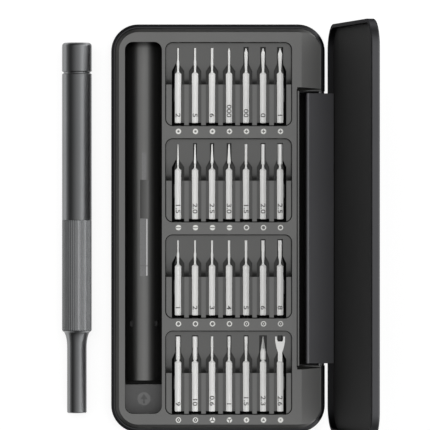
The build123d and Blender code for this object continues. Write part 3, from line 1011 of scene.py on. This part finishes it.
# ------------------------------------------------------------------ bit marks
@dataclass
class BitMarks:
    """Plain size numbers etched along each bit's upper corner, read down the shank."""

    size: float = 3.9
    stretch: float = 1.3
    above_tail: float = 3.4
    axis_height: float = 15.0
    flats: float = 3.9
    corner: float = 0.9
    depth: float = 0.012

    def surface(self, across: np.ndarray) -> np.ndarray:
        """Height of the shank over its axis at a distance to either side, in millimetres.

        A circle of the corner's radius touches both upper faces, 30 degrees off level;
        beyond its touching points the faces fall by the tangent of 30 degrees.

        Args:
            across: signed distances from the shank's middle plane.

        Returns:
            One height for each distance.
        """
        centre = (self.flats / 2 - self.corner) / math.cos(math.pi / 6)
        touch = self.corner / 2
        side = np.abs(across)
        arc = centre + np.sqrt(np.maximum(self.corner ** 2 - side ** 2, 0.0))
        edge = centre + self.corner * math.cos(math.pi / 6)
        return np.where(side < touch, arc, edge - (side - touch) * math.tan(math.pi / 6))

    def label(self, node: str) -> str:
        """Size number of a bit, in which two figures can stand for a decimal.

        Args:
            node: name of the bit's node.

        Returns:
            The number as it is etched.
        """
        kind, mark = node[4:].rsplit("_", 1)
        decimal = kind in ("slot", "hex", "three_wing", "square_cross", "triangle", "fork")
        return f"{mark[0]}.{mark[1]}" if decimal else mark

    def lettering(self, text: str) -> tuple[np.ndarray, list]:
        """Points and faces of a number, cut into narrow strips so that it can bend.

        Args:
            text: the number.

        Returns:
            Points with X along the number and Y up it, and the faces.
        """
        curve = bpy.data.curves.new("number", "FONT")
        curve.body = text
        curve.size = self.size * MM
        curve.offset = 0.05 * MM
        curve.align_x = "RIGHT"
        curve.align_y = "CENTER"
        curve.extrude = self.depth * MM
        drawn = add_object("number", curve)
        bpy.context.view_layer.update()
        depsgraph = bpy.context.evaluated_depsgraph_get()
        mesh = bpy.data.meshes.new_from_object(drawn.evaluated_get(depsgraph))
        bpy.data.objects.remove(drawn)
        strips = bmesh.new()
        strips.from_mesh(mesh)
        middle = sum((max(v.co.y for v in strips.verts), min(v.co.y for v in strips.verts))) / 2
        for cut in np.linspace(-0.9, 0.9, 9):
            bmesh.ops.bisect_plane(
                strips, geom=list(strips.verts) + list(strips.edges) + list(strips.faces),
                plane_co=(0, middle + cut * MM, 0), plane_no=(0, 1, 0))
        bmesh.ops.remove_doubles(strips, verts=list(strips.verts), dist=1e-7)
        strips.verts.index_update()
        points = np.array([v.co[:] for v in strips.verts]) / MM
        faces = [[v.index for v in f.verts] for f in strips.faces]
        strips.free()
        points[:, 1] -= middle / MM
        return points, faces

    def build(self) -> None:
        """Etch every bit: the number's X runs towards the tail, its Y towards +X."""
        for node, thing in sorted(frame["nodes"].items()):
            if not thing["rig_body"].endswith("_body"):
                continue
            low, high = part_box(node)
            local, faces = self.lettering(self.label(node))
            points = np.column_stack([
                (low.x + high.x) / 2 / MM + local[:, 1],
                low.y / MM + self.above_tail - self.stretch * local[:, 0],
                self.axis_height + self.surface(local[:, 1]) + local[:, 2]])
            make_piece(f"etch_{node[4:]}", points * MM, faces, Finish.ETCH,
                       thing["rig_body"])


# ------------------------------------------------------------------ CAD nodes
def dress_nodes() -> None:
    """Give every CAD node the finish of its material slot."""
    slots = {part["node"]: part["material_slot"] for part in frame["record"]["subparts"]}
    for name, thing in frame["nodes"].items():
        thing.data.materials.clear()
        choice = NODE_FINISH.get(name, SLOT_FINISH[slots[name]])
        thing.data.materials.append(material_of(choice))
        LOG.info("%s: %s", name, slots[name])


# ------------------------------------------------------------------ studio
@dataclass
class Studio:
    """White table, one broad soft lamp and a dome that is brighter to the right."""

    camera_x: float = -1.8
    camera_y: float = 8.0
    camera_height: float = 3411.0
    lens: float = 474.0
    lamp_power: float = 17.0
    lamp_place: tuple[float, float, float] = (-0.3, 0.45, 1.5)
    lamp_turn: tuple[float, float, float] = (-0.29, -0.2, 0.0)
    lamp_size: tuple[float, float] = (1.6, 1.2)
    floor_half: float = 6.0
    floor_glow: float = 0.84
    floor_grey: float = 0.2
    dim_span: tuple[float, float] = (0.3, 0.85)
    dimmest: float = 0.13
    dome_stops: tuple[tuple[float, float], ...] = (
        (-110, 1.2), (-75, 0.25), (-45, 0.1), (0, 0.8), (25, 1.0), (45, 2.4), (85, 2.2),
        (110, 1.2))

    def asked_by(self, tree: bpy.types.NodeTree, *rays: str) -> bpy.types.NodeSocket:
        """One where a ray of a named kind asks, otherwise zero.

        Args:
            tree: the node tree.
            *rays: outputs of the light path node.

        Returns:
            The socket of the answer.
        """
        path = add_node(tree, "ShaderNodeLightPath")
        asked = path.outputs[rays[0]]
        for ray in rays[1:]:
            asked = add_node(tree, "ShaderNodeMath", {0: asked, 1: path.outputs[ray]},
                             operation="MAXIMUM").outputs[0]
        return asked

    def floor(self) -> None:
        """Pale table: diffuse, with some glow so that it shows white and keeps shadows."""
        half = self.floor_half
        mesh = bpy.data.meshes.new("table")
        mesh.from_pydata([(-half, -half, 0), (half, -half, 0), (half, half, 0),
                          (-half, half, 0)], [], [(0, 1, 2, 3)])
        table = add_object("table", mesh)
        material, tree = new_material("white table")
        seen = self.asked_by(tree, "Is Camera Ray", "Is Glossy Ray", "Is Transmission Ray")
        matt = add_node(tree, "ShaderNodeBsdfDiffuse",
                        {"Color": (self.floor_grey,) * 3 + (1.0,)})
        light = add_node(tree, "ShaderNodeEmission", {
            "Color": (1, 1, 1, 1), "Strength": product(tree, seen, self.floor_glow)})
        both = add_node(tree, "ShaderNodeAddShader", {0: matt.outputs[0], 1: light.outputs[0]})
        finish_surface(tree, both)
        mesh.materials.append(material)

    def dome(self) -> None:
        """Sky whose brightness follows the angle from straight up towards the right.

        The angle is the arc tangent of X over Z of the ray's direction.  Towards the near
        and far horizon the sky dims, by the size of the direction's Y.
        """
        world = bpy.data.worlds.new("studio dome")
        bpy.context.scene.world = world
        world.use_nodes = True
        tree = world.node_tree
        tree.nodes.clear()
        place = add_node(tree, "ShaderNodeTexCoord")
        axes = add_node(tree, "ShaderNodeSeparateXYZ", {0: place.outputs["Generated"]})
        angle = add_node(tree, "ShaderNodeMath",
                         {0: axes.outputs["X"], 1: axes.outputs["Z"]}, operation="ARCTAN2")
        stops = tuple((math.radians(degrees), level) for degrees, level in self.dome_stops)
        side = add_node(tree, "ShaderNodeMath", {0: axes.outputs["Y"]}, operation="ABSOLUTE")
        dim = add_node(tree, "ShaderNodeMapRange", {
            "Value": side.outputs[0], "From Min": self.dim_span[0],
            "From Max": self.dim_span[1], "To Min": 1.0, "To Max": self.dimmest})
        level = product(tree, graph(tree, angle.outputs[0], stops), dim.outputs["Result"])
        studio = add_node(tree, "ShaderNodeBackground",
                          {"Color": (1, 1, 1, 1), "Strength": level})
        white = add_node(tree, "ShaderNodeBackground",
                         {"Color": (1, 1, 1, 1), "Strength": 1.0})
        seen = self.asked_by(tree, "Is Camera Ray", "Is Transmission Ray")
        mix = add_node(tree, "ShaderNodeMixShader", {
            0: seen, 1: studio.outputs[0], 2: white.outputs[0]})
        add_node(tree, "ShaderNodeOutputWorld", {"Surface": mix.outputs[0]})

    def lamp(self) -> None:
        """Broad lamp above, a little to the left and towards the far side."""
        light = bpy.data.lights.new("soft lamp", "AREA")
        light.shape = "RECTANGLE"
        light.size, light.size_y = self.lamp_size
        light.energy = self.lamp_power
        lamp = add_object("soft lamp", light)
        lamp.location = self.lamp_place
        lamp.rotation_euler = self.lamp_turn
        lamp.visible_glossy = False

    def camera(self) -> None:
        """Camera looking straight down with +Y up in its frame."""
        data = bpy.data.cameras.new("overhead")
        data.lens = self.lens
        data.sensor_width = 36.0
        data.clip_end = 50.0
        camera = add_object("overhead", data)
        camera.location = (self.camera_x * MM, self.camera_y * MM, self.camera_height * MM)
        bpy.context.scene.camera = camera

    def build(self) -> None:
        """Set up the floor, dome, lamp, camera and view transform."""
        self.floor()
        self.dome()
        self.lamp()
        self.camera()
        bpy.context.scene.view_settings.view_transform = "Standard"


def main() -> None:
    """Dress the CAD nodes, add the marks and set up the studio."""
    logging.basicConfig(level=logging.INFO, format="%(message)s")
    dress_nodes()
    TrayMarks().build()
    BitMarks().build()
    Studio().build()


if __name__ == "__main__":
    main()
